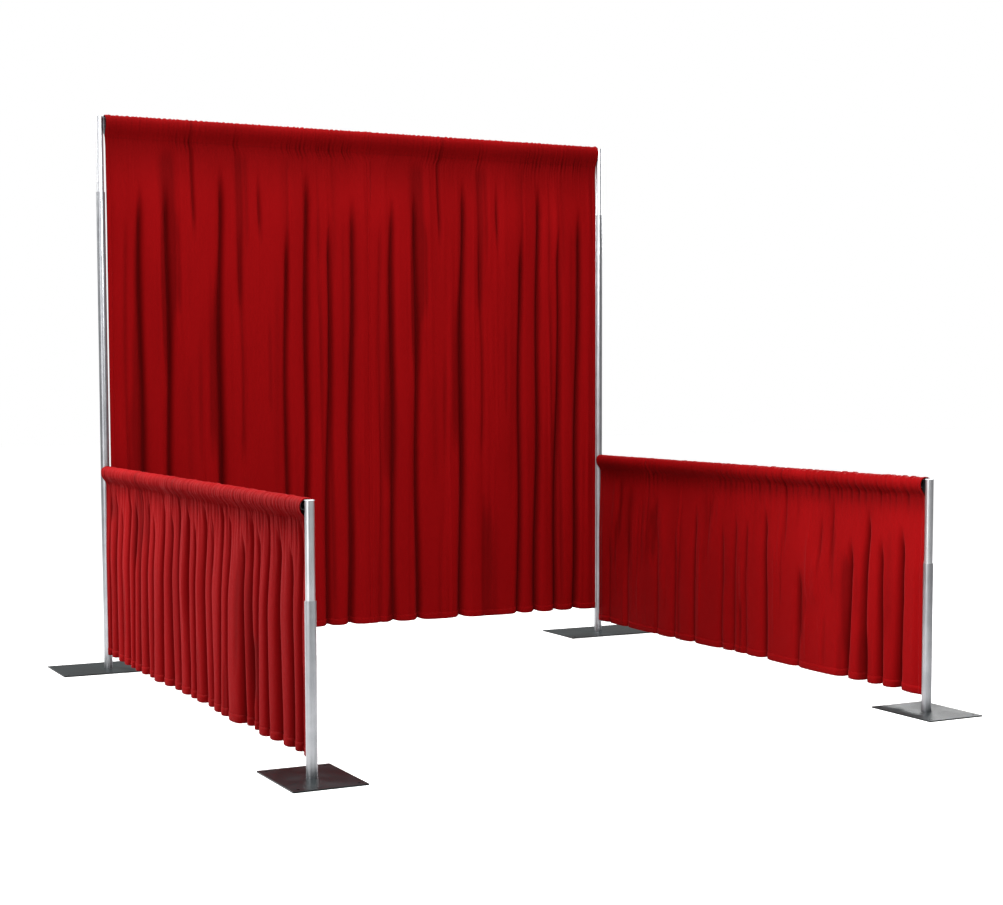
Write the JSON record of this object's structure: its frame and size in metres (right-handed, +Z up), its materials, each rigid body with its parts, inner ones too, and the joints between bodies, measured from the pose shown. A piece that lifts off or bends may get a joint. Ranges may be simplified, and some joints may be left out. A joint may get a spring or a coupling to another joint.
{
  "type": "pipe and drape booth",
  "caption": "Free-standing open exhibition booth: telescoping aluminium posts on steel base plates carry crossbars with a tall pleated back drape and low side drapes.",
  "frame": {"origin": "on the floor at the centre of the booth's bounding box", "axes": "+X along the back wall from the left post to the right, +Y from the open front to the back wall, +Z up"},
  "size_m": [2.995, 2.858, 2.4449],
  "materials": {
    "aluminium_tube": "satin",
    "plate_steel": "gloss",
    "bright_steel": "satin",
    "hook_steel": "satin",
    "spring_steel": "satin",
    "button_brass": "satin",
    "black_nylon": "matte",
    "grey_cap": "satin",
    "red_cloth": "matte"
  },
  "bodies": {
    "rear_left_post": {"rear_left_lower_tube": "aluminium_tube", "rear_left_guide_bush": "black_nylon", "left_rail_outer_tube": "aluminium_tube", "left_rail_outer_hook": "hook_steel", "left_drape": "red_cloth"},
    "rear_left_base": {"rear_left_base_plate": "plate_steel", "rear_left_base_pin": "bright_steel", "rear_left_base_bolt": "bright_steel"},
    "back_wall_head": {"rear_left_upper_tube": "aluminium_tube", "rear_left_glide_cup": "black_nylon", "rear_left_top_cap": "grey_cap", "rear_left_button_spring": "spring_steel", "back_bar_outer_tube": "aluminium_tube", "back_bar_outer_hook": "hook_steel", "back_drape_left": "red_cloth"},
    "rear_left_button": {"rear_left_snap_button": "button_brass"},
    "back_wall_slide": {"rear_right_upper_tube": "aluminium_tube", "rear_right_glide_cup": "black_nylon", "rear_right_top_cap": "grey_cap", "rear_right_button_spring": "spring_steel", "back_bar_inner_tube": "aluminium_tube", "back_bar_inner_hook": "hook_steel", "back_drape_right": "red_cloth"},
    "rear_right_button": {"rear_right_snap_button": "button_brass"},
    "rear_right_post": {"rear_right_lower_tube": "aluminium_tube", "rear_right_guide_bush": "black_nylon", "right_rail_outer_tube": "aluminium_tube", "right_rail_outer_hook": "hook_steel", "right_drape": "red_cloth"},
    "rear_right_base": {"rear_right_base_plate": "plate_steel", "rear_right_base_pin": "bright_steel", "rear_right_base_bolt": "bright_steel"},
    "front_left_post": {"front_left_lower_tube": "aluminium_tube", "front_left_guide_bush": "black_nylon", "front_left_upper_tube": "aluminium_tube", "front_left_glide_cup": "black_nylon", "front_left_top_cap": "grey_cap", "front_left_button_spring": "spring_steel", "left_rail_inner_tube": "aluminium_tube", "left_rail_inner_hook": "hook_steel"},
    "front_left_button": {"front_left_snap_button": "button_brass"},
    "front_left_base": {"front_left_base_plate": "plate_steel", "front_left_base_pin": "bright_steel", "front_left_base_bolt": "bright_steel"},
    "front_right_post": {"front_right_lower_tube": "aluminium_tube", "front_right_guide_bush": "black_nylon", "front_right_upper_tube": "aluminium_tube", "front_right_glide_cup": "black_nylon", "front_right_top_cap": "grey_cap", "front_right_button_spring": "spring_steel", "right_rail_inner_tube": "aluminium_tube", "right_rail_inner_hook": "hook_steel"},
    "front_right_button": {"front_right_snap_button": "button_brass"},
    "front_right_base": {"front_right_base_plate": "plate_steel", "front_right_base_pin": "bright_steel", "front_right_base_bolt": "bright_steel"}
  },
  "joints": [
    {"name": "back_wall_height", "type": "slide", "parent": "rear_left_post", "child": "back_wall_head", "axis": [0, 0, 1], "range_m": [-0.1016, 0.6096], "deforming": ["rear_left_snap_button"]},
    {"name": "back_wall_width", "type": "slide", "parent": "back_wall_head", "child": "back_wall_slide", "axis": [1, 0, 0], "range_m": [-0.6096, 0.6096], "deforming": ["back_drape_left", "back_drape_right"]},
    {"name": "right_post_height", "type": "slide", "parent": "back_wall_slide", "child": "rear_right_post", "axis": [0, 0, 1], "range_m": [-0.6096, 0.1016], "deforming": ["rear_right_snap_button"]},
    {"name": "left_wall_depth", "type": "slide", "parent": "rear_left_post", "child": "front_left_post", "axis": [0, -1, 0], "range_m": [-0.6096, 0.6096], "deforming": ["left_drape"]},
    {"name": "right_wall_depth", "type": "slide", "parent": "rear_right_post", "child": "front_right_post", "axis": [0, -1, 0], "range_m": [-0.6096, 0.6096], "deforming": ["right_drape"]},
    {"name": "rear_left_button_press", "type": "slide", "parent": "back_wall_head", "child": "rear_left_button", "axis": [0, -1, 0], "range_m": [0, 0.0045], "stiffness_N_per_m": 900, "springref_m": -0.003, "deforming": ["rear_left_button_spring"]},
    {"name": "rear_right_button_press", "type": "slide", "parent": "back_wall_slide", "child": "rear_right_button", "axis": [0, -1, 0], "range_m": [0, 0.0045], "stiffness_N_per_m": 900, "springref_m": -0.003, "deforming": ["rear_right_button_spring"]},
    {"name": "front_left_button_press", "type": "slide", "parent": "front_left_post", "child": "front_left_button", "axis": [0, -1, 0], "range_m": [0, 0.0045], "stiffness_N_per_m": 900, "springref_m": -0.003, "deforming": ["front_left_button_spring"]},
    {"name": "front_right_button_press", "type": "slide", "parent": "front_right_post", "child": "front_right_button", "axis": [0, -1, 0], "range_m": [0, 0.0045], "stiffness_N_per_m": 900, "springref_m": -0.003, "deforming": ["front_right_button_spring"]},
    {"name": "rear_left_base_swivel", "type": "hinge", "parent": "rear_left_post", "child": "rear_left_base", "pos_m": [-1.2625, 1.269, 0], "axis": [0, 0, 1], "continuous": true},
    {"name": "rear_right_base_swivel", "type": "hinge", "parent": "rear_right_post", "child": "rear_right_base", "pos_m": [1.2625, 1.269, 0], "axis": [0, 0, 1], "continuous": true},
    {"name": "front_left_base_swivel", "type": "hinge", "parent": "front_left_post", "child": "front_left_base", "pos_m": [-1.2625, -1.256, 0], "axis": [0, 0, 1], "continuous": true},
    {"name": "front_right_base_swivel", "type": "hinge", "parent": "front_right_post", "child": "front_right_base", "pos_m": [1.2625, -1.256, 0], "axis": [0, 0, 1], "continuous": true}
  ],
  "couplings": [
    {"joint": "right_post_height", "follows": "back_wall_height", "ratio": -1}
  ]
}
